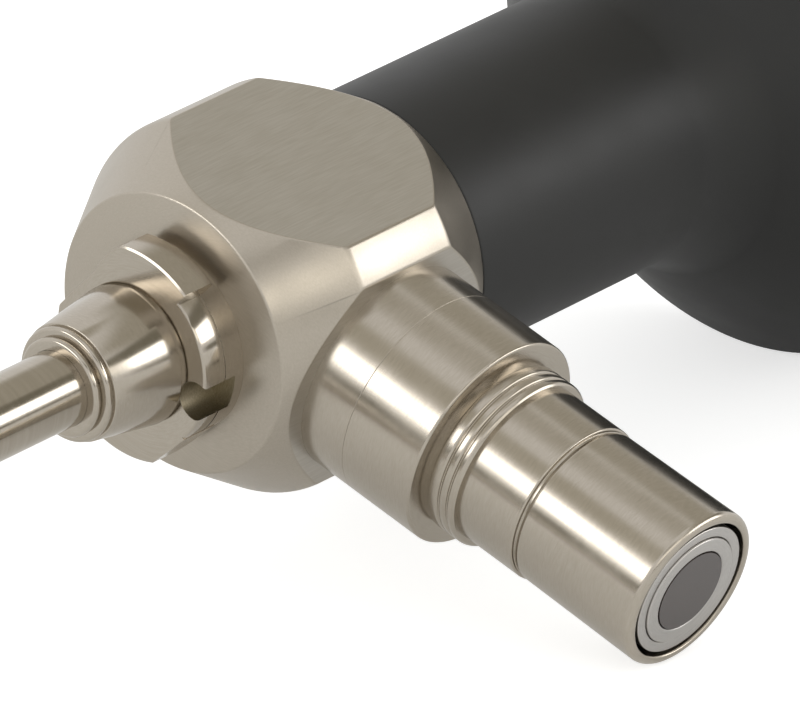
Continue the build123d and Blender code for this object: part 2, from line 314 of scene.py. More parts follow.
@dataclass(frozen=True)
class BlackAnodising(Finish):
    """Aluminium turned, bead blasted and anodised black.

    The eye sees a soft, very dark grey with a faint warm sheen at its edges and a fine grain.
    """

    name: str
    line: Line = Line.OPTICAL
    colour: str = "#181817"
    worn: str = "#1D1D1B"
    roughness: float = 0.5
    roughness_spread: float = 0.06
    specular: float = 0.42
    grain: float = 0.09
    grain_height: float = 0.004
    cloud_scale: float = 0.25

    def surface(self, tree: NodeTree) -> dict:
        """The shader's inputs: a grain to feel, and broad clouds of tone and gloss."""
        place = self.millimetres(tree)
        beads = {"Vector": place, "Scale": 1 / self.grain, "Detail": 3.0}
        grain = add_node(tree, "ShaderNodeTexNoise", beads).outputs[0]
        clouds = {"Vector": place, "Scale": self.cloud_scale, "Detail": 4.0}
        broad = add_node(tree, "ShaderNodeTexNoise", clouds).outputs[0]
        height = {"Height": grain, "Distance": self.grain_height * MILLIMETRE, "Strength": 1.0}
        return {
            "Base Color": blended(tree, spread_between(tree, broad), self.colour, self.worn),
            "Roughness": self.gloss(tree, broad),
            "Specular IOR Level": self.specular,
            "Normal": add_node(tree, "ShaderNodeBump", height).outputs[0],
        }


@dataclass(frozen=True)
class PlainMetal(Finish):
    """A metal of the inside: turned brass, or steel and brass blackened against stray light.

    The eye sees tool rings and a slightly uneven tone, bright on brass and dull where blackened.
    """

    name: str
    colour: str
    shade: str
    line: Line = Line.OPTICAL
    metallic: float = 1.0
    roughness: float = 0.3
    roughness_spread: float = 0.1
    ring_spacing: float = 0.15
    ring_height: float = 0.0008
    drift: float = 0.05

    def surface(self, tree: NodeTree) -> dict:
        """The shader's inputs: one noise in rings gives the tone, the gloss and the relief."""
        rings_at = self.round_the_line(tree, self.millimetres(tree))
        rings = {"Vector": rings_at, "Scale": 1 / self.ring_spacing, "Detail": 3.0}
        fine = add_node(tree, "ShaderNodeTexNoise", rings).outputs[0]
        height = {"Height": fine, "Distance": self.ring_height * MILLIMETRE, "Strength": 1.0}
        return {
            "Base Color": blended(tree, spread_between(tree, fine), self.colour, self.shade),
            "Metallic": self.metallic,
            "Roughness": self.gloss(tree, fine),
            "Normal": add_node(tree, "ShaderNodeBump", height).outputs[0],
        }


@dataclass(frozen=True)
class PolishedGlass(Finish):
    """Optical crown glass, ground and polished, with a thin coating against reflections.

    The eye sees a clear, faintly cool glass with the softest polishing haze.
    """

    name: str
    line: Line = Line.OPTICAL
    colour: str = "#EEF4F2"
    index: float = 1.52
    roughness: float = 0.01
    haze: float = 0.015
    cloud_scale: float = 0.6

    def surface(self, tree: NodeTree) -> dict:
        """The shader's inputs: clear glass with broad clouds of haze."""
        clouds = {"Vector": self.millimetres(tree), "Scale": self.cloud_scale, "Detail": 3.0}
        broad = add_node(tree, "ShaderNodeTexNoise", clouds).outputs[0]
        return {
            "Base Color": linear(self.colour),
            "Roughness": spread_between(tree, broad, self.roughness, self.roughness + self.haze),
            "Transmission Weight": 1.0,
            "IOR": self.index,
        }


@dataclass(frozen=True)
class FibreFace(Finish):
    """Glass fibres packed with resin, their ends ground and polished together.

    The eye sees a dark grey-brown face with a fine mosaic of fibre ends. The real fibres are
    about 0.03 mm thick, too fine for the render, so the mosaic is drawn at cell_size.
    """

    name: str
    line: Line = Line.POST
    dark: str = "#382E2A"
    pale: str = "#473B37"
    resin: str = "#2E2623"
    cell_size: float = 0.1
    roughness: float = 0.1
    roughness_spread: float = 0.1
    seam: tuple[float, float] = (0.45, 0.75)
    coat: float = 0.4
    coat_roughness: float = 0.06

    def surface(self, tree: NodeTree) -> dict:
        """The shader's inputs: each fibre's end has its own tone, and resin fills the seams."""
        cells = {"Vector": self.millimetres(tree), "Scale": 1 / self.cell_size}
        mosaic = add_node(tree, "ShaderNodeTexVoronoi", cells).outputs
        tone = add_node(tree, "ShaderNodeSeparateColor", {0: mosaic["Color"]}).outputs[0]
        rim = {"Value": mosaic["Distance"], "From Min": self.seam[0], "From Max": self.seam[1]}
        seam = add_node(tree, "ShaderNodeMapRange", rim).outputs[0]
        colours = {0: seam, 6: blended(tree, tone, self.dark, self.pale), 7: linear(self.resin)}
        return {
            "Base Color": add_node(tree, "ShaderNodeMix", colours, data_type="RGBA").outputs[2],
            "Roughness": spread_between(tree, tone, self.roughness, self.roughness + self.roughness_spread),
            "Coat Weight": self.coat,
            "Coat Roughness": self.coat_roughness,
        }


SHAFT_STEEL = TurnedSteel(
    "drawn and polished stainless steel tube", roughness=0.15, anisotropy=0.4, ring_spacing=0.2, drift=0.05
)
COLLAR_STEEL = TurnedSteel(
    "turned and polished stainless steel", roughness=0.15, anisotropy=0.4, mark_height=0.0001
)
DRUM_STEEL = TurnedSteel("satin stainless steel drum", roughness=0.33, anisotropy=0.3, drift=0.5)
# The index hole's walls and floor: a rougher drilled finish (real), with a darker, browner colour that is
# painted shade for the recess.
HOLE_STEEL_WITH_PAINTED_SHADE = TurnedSteel(
    "drilled stainless steel darkened with painted shade", colour="#A39A86", shade="#8C8470", roughness=0.4, anisotropy=0.0
)
POST_STEEL = TurnedSteel("turned stainless steel light post", Line.POST, roughness=0.23, drift=0.12)
FERRULE_STEEL = TurnedSteel(
    "lapped stainless steel", Line.POST, colour="#BDBAB6", shade="#B4B1AD", roughness=0.3, anisotropy=0.2
)
FLAT_STEEL = GroundSteel("ground stainless steel flat")
BLACK_TUBE = BlackAnodising("black anodised aluminium")
INNER_BRASS = PlainMetal("turned brass", "#CDB072", "#B99A5C", roughness=0.25)
LENS_TUBE_STEEL = PlainMetal("drawn steel lens tube", "#B4AC9F", "#A69E91", roughness=0.24)
BLACKENED = PlainMetal("blackened metal", "#1C1C1B", "#131312", metallic=0.0, roughness=0.55)
OPTICAL_GLASS = PolishedGlass("polished crown glass")
FIBRES = FibreFace("ground and polished glass fibre bundle")


def ease(mesh: BMesh, geometry: list, affect: str, width: float, segments: int) -> None:
    """Rounds off corners or edges, so far from each side as the width says."""
    size = {"offset": width, "offset_type": "OFFSET", "segments": segments}
    bmesh.ops.bevel(mesh, geom=geometry, affect=affect, profile=0.5, material=-1, **size)


def turned(outline: list[Corner], steps: int = 192, first: float = 0.0, last: float = 360.0) -> BMesh:
    """Turns a closed outline about the X axis.

    Args:
        outline: the corners in order, each with how far it is rounded off.
        steps: how many facets a full turn has.
        first: the angle from +Z towards the light post where a part turn starts, in degrees.
        last: where it ends.

    Returns:
        The closed solid as a new bmesh, in millimetres.
    """
    mesh = bmesh.new()
    corners = [mesh.verts.new((corner.along, 0.0, corner.radius)) for corner in outline]
    mesh.faces.new(corners)
    for vertex, corner in zip(corners, outline):
        if corner.edge:
            ease(mesh, [vertex], "VERTICES", corner.edge, corner.segments)
    bmesh.ops.delete(mesh, geom=mesh.faces[:], context="FACES_ONLY")
    whole = last - first >= 360.0
    start = Matrix.Rotation(math.radians(first), 3, "X")
    bmesh.ops.rotate(mesh, verts=mesh.verts[:], cent=(0, 0, 0), matrix=start)
    bmesh.ops.spin(
        mesh,
        geom=mesh.verts[:] + mesh.edges[:],
        cent=(0, 0, 0),
        axis=(1, 0, 0),
        angle=math.radians(last - first),
        steps=round(steps * (last - first) / 360.0),
        use_merge=whole,
    )
    bmesh.ops.remove_doubles(mesh, verts=mesh.verts[:], dist=WELD)
    if not whole:
        rims = [edge for edge in mesh.edges if edge.is_boundary]
        bmesh.ops.holes_fill(mesh, edges=rims, sides=0)
    bmesh.ops.recalc_face_normals(mesh, faces=mesh.faces[:])
    return mesh


def as_object(mesh: BMesh, name: str) -> Object:
    """Puts a bmesh into a linked object of its own and frees it."""
    data = bpy.data.meshes.new(name)
    mesh.to_mesh(data)
    mesh.free()
    holder = bpy.data.objects.new(name, data)
    bpy.context.scene.collection.objects.link(holder)
    return holder


def combined(solid: BMesh, tool: BMesh, join: Join) -> BMesh:
    """Combines two closed solids.

    Args:
        solid: the solid to work on.
        tool: what is added to it or taken away.
        join: which of the two.

    Returns:
        The result as a new bmesh; both inputs are used up.
    """
    target, cutter = as_object(solid, "target"), as_object(tool, "cutter")
    modifier = target.modifiers.new("join", "BOOLEAN")
    modifier.operation = join.value
    modifier.solver = "EXACT"
    modifier.object = cutter
    seen = target.evaluated_get(bpy.context.evaluated_depsgraph_get())
    result = bmesh.new()
    result.from_mesh(seen.to_mesh())
    seen.to_mesh_clear()
    for holder in (target, cutter):
        data = holder.data
        bpy.data.objects.remove(holder)
        bpy.data.meshes.remove(data)
    bmesh.ops.remove_doubles(result, verts=result.verts[:], dist=WELD)
    bmesh.ops.dissolve_degenerate(result, edges=result.edges[:], dist=WELD)
    return result


def drill(along: float, depth: float, across: float, diameter: float, facets: int = 72) -> BMesh:
    """A round cutter that runs along X from a place, with its axis at a y."""
    cutter = bmesh.new()
    turn = Matrix.Rotation(math.pi / 2, 4, "Y")
    place = Matrix.Translation((along + depth / 2, across, 0.0)) @ turn
    size = {"radius1": diameter / 2, "radius2": diameter / 2, "depth": depth}
    bmesh.ops.create_cone(cutter, cap_ends=True, segments=facets, matrix=place, **size)
    return cutter


def map_grain(mesh: BMesh, flats: tuple[Vector, ...] = ()) -> None:
    """Lays the grain map: U runs along the piece on its sides and outwards on its end faces.

    Args:
        mesh: the finished solid in millimetres.
        flats: outward directions of ground flats, whose grain runs along the piece.
    """
    layer = mesh.loops.layers.uv.new(GRAIN_MAP)
    for face in mesh.faces:
        centre = face.calc_center_median()
        outward = Vector((0.0, centre.y, centre.z))
        outward = outward.normalized() if outward.length > 1e-6 else Vector((0.0, 0.0, 1.0))
        flat = any(face.normal.dot(direction) > SAME_WAY for direction in flats)
        side, end = (1.0, 0.0) if flat else (face.normal.dot(outward), face.normal.x)
        around = outward.cross(Vector((1.0, 0.0, 0.0)))
        for loop in face.loops:
            point = loop.vert.co
            away = math.hypot(point.y, point.z)
            angle = math.atan2(point.dot(around), point.dot(outward))
            across = point.dot(around) if flat else angle * GRAIN_RADIUS
            loop[layer].uv = (side * point.x - end * away, across)


class SubAssembly:
    """A group of pieces that are made and dressed together."""

    smooth_below = math.radians(28)

    def finish(
        self,
        mesh: BMesh,
        node: str,
        slot: str,
        finish: Finish,
        flats: dict[tuple[float, float, float], Finish] | None = None,
        marked: tuple[Finish, ...] = (),
        edge_break: float = 0.0,
    ) -> Object:
        """Turns a solid in millimetres into a dressed piece that stands for a CAD node.

        Args:
            mesh: the solid, which is used up.
            node: the CAD node that the piece replaces; its own name comes from it.
            slot: the record's material slot; not used.
            finish: the finish of all other faces; its line is the one that the solid is turned about.
            flats: the finishes of faces that look a certain way, by outward direction.
            marked: the finishes of faces whose material number is set already, from 1 up.
            edge_break: how far a live bevel rounds sharp edges, in millimetres.

        Returns:
            The piece, which rides on the frame.
        """
        directions = {Vector(direction).freeze(): dressing for direction, dressing in (flats or {}).items()}
        for face in mesh.faces:
            face.smooth = True
            for index, direction in enumerate(directions, start=1 + len(marked)):
                if face.normal.dot(direction) > SAME_WAY:
                    face.material_index = index
        for edge in mesh.edges:
            edge.smooth = len(edge.link_faces) == 2 and edge.calc_face_angle(0.0) < self.smooth_below
        map_grain(mesh, tuple(directions))
        bmesh.ops.transform(mesh, matrix=INSTRUMENT.place(finish.line), verts=mesh.verts[:])
        mesh.normal_update()
        piece = as_object(mesh, f"{node}.look")
        for dressing in (finish, *marked, *directions.values()):
            piece.data.materials.append(dressing.material())
        if edge_break:
            bevel = piece.modifiers.new("broken edges", "BEVEL")
            bevel.width = edge_break * MILLIMETRE
            bevel.segments = 2
            bevel.limit_method = "ANGLE"
            bevel.angle_limit = self.smooth_below
            bevel.harden_normals = True
        weighting = piece.modifiers.new("flat faces stay flat", "WEIGHTED_NORMAL")
        weighting.weight = 100
        weighting.keep_sharp = True
        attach(piece, BODY)
        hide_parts(node)
        log.info("%s: %d faces, %s", piece.name, len(piece.data.polygons), finish.name)
        return piece


@dataclass
class Shaft(SubAssembly):
    """The steel tube and the collar that carries it, with its two-beaded nose."""

    tip: float = -190.5
    tube_radius: float = 2.0
    tube_bore: float = 1.82
    root_radius: float = 2.25
    root_end: float = -3.0
    nose: float = -15.5
    bead_join: float = -15.05
    nose_end: float = -14.62
    front_bead: float = 2.6
    rear_bead: float = 3.0
    bead_round: float = 0.22
    groove_run: float = 0.12
    groove_round: float = 0.1
    front_groove: float = 0.13
    rear_groove: float = 0.1
    lip: float = 0.4
    slip: float = 0.01
    cone_start: float = 3.1
    cone_end: float = 3.7
    relief_start: float = -10.5
    relief_radius: float = 3.56
    ring_face: float = -10.3
    stem_radius: float = 2.7
    collar_bore: float = 2.27

    def build(self) -> None:
        """Makes the tube and the collar."""
        self.make_tube()
        self.make_collar()

    def make_tube(self) -> None:
        """The drawn tube, with the thicker root inside the collar."""
        root_start = self.nose + self.lip
        outline = [
            Corner(self.tip, self.tube_bore, 0.03),
            Corner(self.tip, self.tube_radius, 0.06),
            Corner(root_start, self.tube_radius),
            Corner(root_start, self.root_radius),
            Corner(self.root_end, self.root_radius),
            Corner(self.root_end, self.tube_bore),
        ]
        self.finish(turned(outline, 128), "outer_shaft_tube", "shaft_steel", SHAFT_STEEL)

    def make_collar(self) -> None:
        """The beads, the slim polished cone, the groove behind it and the stem."""
        seat = self.nose + self.lip - 0.03
        outline = [
            Corner(self.nose, self.tube_radius + self.slip),
            Corner(self.nose, self.front_bead, self.bead_round, 6),
            Corner(self.bead_join - self.groove_run, self.front_bead, self.groove_round),
            Corner(self.bead_join, self.front_bead - self.front_groove, 0.02),
            Corner(self.bead_join, self.rear_bead, self.bead_round - 0.03, 6),
            Corner(self.nose_end - self.groove_run, self.rear_bead, self.groove_round),
            Corner(self.nose_end, self.rear_bead - self.rear_groove, 0.02),
            Corner(self.nose_end, self.cone_start, 0.06),
            Corner(self.relief_start, self.cone_end, 0.08),
            Corner(self.relief_start, self.relief_radius, 0.04),
            Corner(self.ring_face, self.relief_radius),
            Corner(self.ring_face, self.stem_radius),
            Corner(self.root_end, self.stem_radius),
            Corner(self.root_end, self.collar_bore),
            Corner(seat, self.collar_bore),
            Corner(seat, self.tube_radius + self.slip),
        ]
        self.finish(turned(outline), "shaft_collar", "collar_steel", COLLAR_STEEL)


@dataclass
class BayonetRing(SubAssembly):
    """The ring that locks a sheath: hub, two lugs, a milled flat and the index hole."""

    front: float = -10.3
    rear: float = -7.5
    hub: float = 5.0
    bore: float = 2.72
    spigot: float = 3.48
    spigot_end: float = -4.1
    line_at: float = -8.9
    line_width: float = 0.12
    line_depth: float = 0.08
    lug: float = 5.75
    lug_length: float = 2.2
    lug_chamfer: float = 0.35
    lug_root: float = 0.3
    lug_break: tuple[float, float] = (0.07, 0.11)
    upper_lug: tuple[float, float] = (-50.0, 25.0)
    lower_lug: tuple[float, float] = (120.0, 200.0)
    hub_break: float = 0.15
    flats: tuple[tuple[float, float], ...] = ((-62.4, 4.28), (122.0, 5.03))
    hole_diameter: float = 2.1
    hole_depth: float = 2.2
    hole_distance: float = 4.5
    edge_break: float = 0.045

    def build(self) -> None:
        """Makes the ring."""
        solid = self.make_hub()
        for angles in (self.upper_lug, self.lower_lug):
            solid = combined(solid, self.make_lug(*angles), Join.ADD)
        for angle, distance in self.flats:
            solid = combined(solid, self.make_flat(angle, distance), Join.TAKE_AWAY)
        start = self.front - CUT_REACH
        hole = drill(start, self.hole_depth + CUT_REACH, -self.hole_distance, self.hole_diameter)
        solid = combined(solid, hole, Join.TAKE_AWAY)
        level = {"angle_limit": math.radians(0.5), "delimit": {"NORMAL"}}
        bmesh.ops.dissolve_limit(solid, verts=solid.verts[:], edges=solid.edges[:], **level)
        # Faces inside the index hole take the darker steel, whose colour paints the hole's shade.
        for face in solid.faces:
            face.material_index = int(self.in_hole(face.calc_center_median()))
        extras = {"marked": (HOLE_STEEL_WITH_PAINTED_SHADE,), "edge_break": self.edge_break}
        self.finish(solid, "bayonet_ring", "collar_steel", COLLAR_STEEL, **extras)

    def in_hole(self, point: Vector) -> bool:
        """Whether a point lies on the wall or the floor of the index hole."""
        margin, slack, rim = 0.02, 0.01, 0.03
        deep = self.front + margin < point.x < self.front + self.hole_depth + margin
        away = math.hypot(point.y + self.hole_distance, point.z)
        inside = math.hypot(point.y, point.z) < self.hub - rim
        return deep and away < self.hole_diameter / 2 + slack and inside

    def make_hub(self) -> BMesh:
        """The hub with its fine scribed line, and the spigot in the body."""
        low = self.hub - self.line_depth
        outline = [
            Corner(self.front, self.bore),
            Corner(self.front, self.hub, self.hub_break, 2),
            Corner(self.line_at, self.hub),
            Corner(self.line_at, low),
            Corner(self.line_at + self.line_width, low),
            Corner(self.line_at + self.line_width, self.hub),
            Corner(self.rear, self.hub),
            Corner(self.rear, self.spigot),
            Corner(self.spigot_end, self.spigot),
            Corner(self.spigot_end, self.bore),
        ]
        return turned(outline)

    def make_lug(self, first: float, last: float) -> BMesh:
        """One lug, as part of an outer ring with its front edge broken and its rear edge chamfered."""
        rear = self.front + self.lug_length
        inner = self.hub - self.lug_root
        outline = [
            Corner(self.front, inner),
            Corner(self.front, self.lug - self.lug_break[1]),
            Corner(self.front + self.lug_break[0], self.lug),
            Corner(rear - self.lug_chamfer, self.lug),
            Corner(rear, self.lug - self.lug_chamfer),
            Corner(rear, inner),
        ]
        return turned(outline, first=first, last=last)

    def make_flat(self, angle: float, distance: float) -> BMesh:
        """The block of metal that the mill takes off for one flat, as deep as the lugs."""
        block = bmesh.new()
        depth = self.lug_length + CUT_REACH
        size = Matrix.Diagonal((depth, 4 * self.lug, self.lug, 1.0))
        centre = (self.front - CUT_REACH + depth / 2, 0.0, distance + self.lug / 2)
        turn = Matrix.Rotation(math.radians(angle), 4, "X")
        bmesh.ops.create_cube(block, size=1.0, matrix=turn @ Matrix.Translation(centre) @ size)
        return block


@dataclass
class Body(SubAssembly):
    """The steel body: a drum with coned ends and two ground flats."""

    front: float = -7.3
    face_rise: float = 0.2
    hub: float = 5.0
    face_radius: float = 7.35
    cone: float = 4.1
    drum: float = 9.85
    rear_radius: float = 7.5
    seat: float = 3.5
    chamber: float = 6.0
    chamber_front: float = -3.0
    top_flat: float = 7.7
    post_flat: float = 7.7
    socket_bore: float = 9.0
    flat_edge: float = 0.07

    def build(self) -> None:
        """Makes the body housing."""
        rear = -self.front
        outline = [
            Corner(self.front - self.face_rise, self.seat),
            Corner(self.front - self.face_rise, self.hub),
            Corner(self.front, self.face_radius, 0.09),
            Corner(self.front + self.cone, self.drum, 0.22),
            Corner(rear - self.cone, self.drum, 0.14),
            Corner(rear, self.rear_radius, 0.05),
            Corner(rear, self.chamber),
            Corner(self.chamber_front, self.chamber),
            Corner(self.chamber_front, self.seat),
        ]
        solid = turned(outline, 256)
        self.grind(solid, Vector((0.0, 0.0, 1.0)), self.top_flat)
        self.grind(solid, Vector((0.0, -1.0, 0.0)), self.post_flat)
        socket = drill(0.0, self.post_flat + CUT_REACH, 0.0, self.socket_bore)
        swing = Matrix.Rotation(-math.pi / 2, 3, "Z")
        bmesh.ops.rotate(socket, verts=socket.verts[:], cent=(0, 0, 0), matrix=swing)
        solid = combined(solid, socket, Join.TAKE_AWAY)
        flats = {(0.0, 0.0, 1.0): FLAT_STEEL, (0.0, -1.0, 0.0): FLAT_STEEL}
        self.finish(solid, "body_housing", "body_steel", DRUM_STEEL, flats)

    def grind(self, solid: BMesh, outward: Vector, distance: float) -> None:
        """Grinds one flat on the drum and breaks its edges.

        Args:
            solid: the body, changed in place.
            outward: the direction that the flat faces.
            distance: how far the flat lies from the optical axis.
        """
        everything = solid.verts[:] + solid.edges[:] + solid.faces[:]
        plane = {"plane_co": outward * distance, "plane_no": outward}
        bmesh.ops.bisect_plane(solid, geom=everything, dist=WELD, clear_outer=True, **plane)
        rims = [edge for edge in solid.edges if edge.is_boundary]
        filled = bmesh.ops.holes_fill(solid, edges=rims, sides=0)["faces"]
        bmesh.ops.recalc_face_normals(solid, faces=solid.faces[:])
        edges = {edge for face in filled for edge in face.edges}
        ease(solid, list(edges), "EDGES", self.flat_edge, 3)


@dataclass
class LightPost(SubAssembly):
    """The light post: fixed root, collar nut with its ridges, two sleeves, ferrule and fibres."""

    flat: float = 7.7
    socket_inside: float = 6.2
    socket_spigot: float = 4.48
    outer: float = 5.78
    seam: float = 10.52
    seam_edge: float = 0.03
    nut_end: float = 15.02
    nut_edge: float = 0.15
    ridge: float = 4.75
    ridge_low: float = 4.62
    ridge_places: tuple[float, ...] = (15.3, 16.05, 16.6, 17.07)
    ridge_gap: float = 0.13
    sleeve: float = 4.375
    groove_low: float = 4.17
    groove: float = 20.83
    groove_half: float = 0.13
    groove_edge: float = 0.11
    end: float = 28.65
    end_round: float = 0.38
    end_taper: float = 0.09
    end_bore: float = 3.82
    bore_depth: float = 4.0
    inner: float = 3.6
    inner_end: float = 28.55
    ferrule: float = 3.0
    core: float = 2.22
    slip: float = 0.02

    def build(self) -> None:
        """Makes the pieces from the body outwards."""
        self.make_socket()
        self.make_nut()
        self.make_middle_sleeve()
        self.make_end_sleeve()
        self.make_inner_sleeve()
        self.make_ferrule()

    def dress(
        self, outline: list[Corner], node: str, slot: str = "post_steel", finish: Finish = POST_STEEL
    ) -> None:
        """Turns one outline about the post's axis and finishes it."""
        self.finish(turned(outline), node, slot, finish)

    def make_socket(self) -> None:
        """The fixed root on its flat."""
        bore = self.ferrule + self.slip
        outline = [
            Corner(self.socket_inside, bore),
            Corner(self.socket_inside, self.socket_spigot),
            Corner(self.flat, self.socket_spigot),
            Corner(self.flat, self.outer),
            Corner(self.seam, self.outer, self.seam_edge),
            Corner(self.seam, bore),
        ]
        self.dress(outline, "post_socket")

    def make_nut(self) -> None:
        """The plain nut and the ridges of its nose, of unequal width as on the real one."""
        bore = self.inner + self.slip
        outline = [
            Corner(self.seam, bore),
            Corner(self.seam, self.outer, self.seam_edge),
            Corner(self.nut_end, self.outer, self.nut_edge),
            Corner(self.nut_end, self.ridge_low),
        ]
        for start, stop in zip(self.ridge_places, self.ridge_places[1:]):
            rise = min(0.1, (stop - start) / 4)
            outline += [
                Corner(start, self.ridge_low, 0.03, 2),
                Corner(start + rise / 2, self.ridge, rise, 6),
                Corner(stop - self.ridge_gap, self.ridge, rise, 6),
                Corner(stop - self.ridge_gap / 2, self.ridge_low, 0.03, 2),
            ]
        outline[-1] = Corner(self.ridge_places[-1], self.ridge_low)
        outline.append(Corner(self.ridge_places[-1], bore))
        self.dress(outline, "post_collar_nut")

    def make_middle_sleeve(self) -> None:
        """The sleeve between the ridges and the groove."""
        bore, start, stop = self.inner + self.slip, self.ridge_places[-1], self.groove - self.groove_half
        outline = [
            Corner(start, bore),
            Corner(start, self.sleeve),
            Corner(stop, self.sleeve, self.groove_edge),
            Corner(stop, self.groove_low, 0.05),
            Corner(self.groove, self.groove_low),
            Corner(self.groove, bore),
        ]
        self.dress(outline, "middle_sleeve")

    def make_end_sleeve(self) -> None:
        """The end sleeve, a hair slimmer at its groove, with its rounded rim and wide bore."""
        bore, step = self.inner + self.slip, self.end - self.bore_depth
        start = self.groove + self.groove_half
        outline = [
            Corner(self.groove, bore),
            Corner(self.groove, self.groove_low - self.end_taper),
            Corner(start, self.groove_low - self.end_taper, 0.05),
            Corner(start, self.sleeve - self.end_taper, self.groove_edge),
            Corner(self.end, self.sleeve, self.end_round, 8),
            Corner(self.end, self.end_bore, 0.14),
            Corner(step, self.end_bore),
            Corner(step, bore),
        ]
        self.dress(outline, "end_sleeve")

    def make_inner_sleeve(self) -> None:
        """The inner sleeve, which shows as a ring in the end face."""
        bore = self.ferrule + self.slip
        outline = [
            Corner(self.seam, bore),
            Corner(self.seam, self.inner),
            Corner(self.inner_end, self.inner, 0.08),
            Corner(self.inner_end, bore, 0.09),
        ]
        self.dress(outline, "inner_sleeve", finish=FERRULE_STEEL)

    def make_ferrule(self) -> None:
        """The pale ring round the fibres."""
        outline = [
            Corner(self.socket_inside, self.core),
            Corner(self.socket_inside, self.ferrule),
            Corner(self.end, self.ferrule, 0.11),
            Corner(self.end, self.core, 0.13),
        ]
        self.dress(outline, "fibre_ferrule", "ferrule_steel", FERRULE_STEEL)


@dataclass
class Eyepiece(SubAssembly):
    """The black tube that flares into the eyecup."""

    start: float = 7.3
    bore: float = 6.02
    tube: float = 7.5
    flare: float = 26.2
    flare_reach: float = 2.395
    cup_edge: float = 35.15
    cup: float = 16.0
    rim: float = 38.55
    rim_round: float = 0.5
    mouth: float = 13.5
    floor: float = 33.95
    floor_radius: float = 10.0
    seat: float = 31.95

    def build(self) -> None:
        """Makes the housing."""
        outline = [
            Corner(self.start, self.bore),
            Corner(self.start, self.tube, 0.15),
            Corner(self.flare, self.tube, self.flare_reach, 16),
            Corner(self.cup_edge, self.cup, 0.25),
            Corner(self.rim, self.cup, self.rim_round, 6),
            Corner(self.rim, self.mouth, self.rim_round, 6),
            Corner(self.floor, self.floor_radius, 0.1),
            Corner(self.floor, self.tube, 0.06),
            Corner(self.seat, self.tube),
            Corner(self.seat, self.bore),
        ]
        self.finish(turned(outline, 224), "eyepiece_housing", "black_anodised", BLACK_TUBE)


@dataclass
class InnerPieces:
    """The CAD pieces whose shape is right as it is, which only get their finish."""

    groups: tuple[tuple[Finish, tuple[str, ...]], ...] = (
        (INNER_BRASS, ("lens_tube_guide", "eyepiece_coupling")),
        (BLACKENED, ("ocular_barrel", "field_stop", "ocular_retaining_ring", "rod_spacer")),
        (LENS_TUBE_STEEL, ("lens_tube",)),
        (BLACK_TUBE, ("window_retaining_ring",)),
        (FIBRES, ("light_guide_fibres",)),
        (OPTICAL_GLASS, ("ocular_front_element", "ocular_rear_element", "eyepiece_window", "rod_lens")),
        (OPTICAL_GLASS, ("distal_window", "objective_front_lens", "objective_rear_lens")),
    )

    def build(self) -> None:
        """Dresses every CAD node that no new piece stands for."""
        for node, piece in sorted(frame["nodes"].items()):
            family = node.rstrip("0123456789_")
            for finish, names in self.groups:
                if node in names or family in names:
                    for place in piece.material_slots:
                        place.material = finish.material()
                    log.info("%s: %s", node, finish.name)


@dataclass(frozen=True)
class Panel:
    """Where a lamp or a card hangs: its direction from the body and its apparent size, in degrees."""

    azimuth: float
    elevation: float
    breadth: float
    height: float
    distance: float = 1.2

    def place(self) -> Matrix:
        """The matrix that puts a flat thing there, facing the body."""
        azimuth, elevation = math.radians(self.azimuth), math.radians(self.elevation)
        level = math.cos(elevation)
        outward = Vector((level * math.cos(azimuth), level * math.sin(azimuth), math.sin(elevation)))
        turn = outward.to_track_quat("Z", "Y").to_matrix().to_4x4()
        return Matrix.Translation(INSTRUMENT.crossing + outward * self.distance) @ turn

    def size(self) -> tuple[float, float]:
        """Breadth and height in metres."""
        return tuple(2 * self.distance * math.tan(math.radians(a) / 2) for a in (self.breadth, self.height))


@dataclass(frozen=True)
class Card(Panel):
    """A card in the colour that the metal sees; its radiance is against the white room's."""

    distance: float = 1.25
    colour: str = "#FFFFFF"
    radiance: float = 1.0


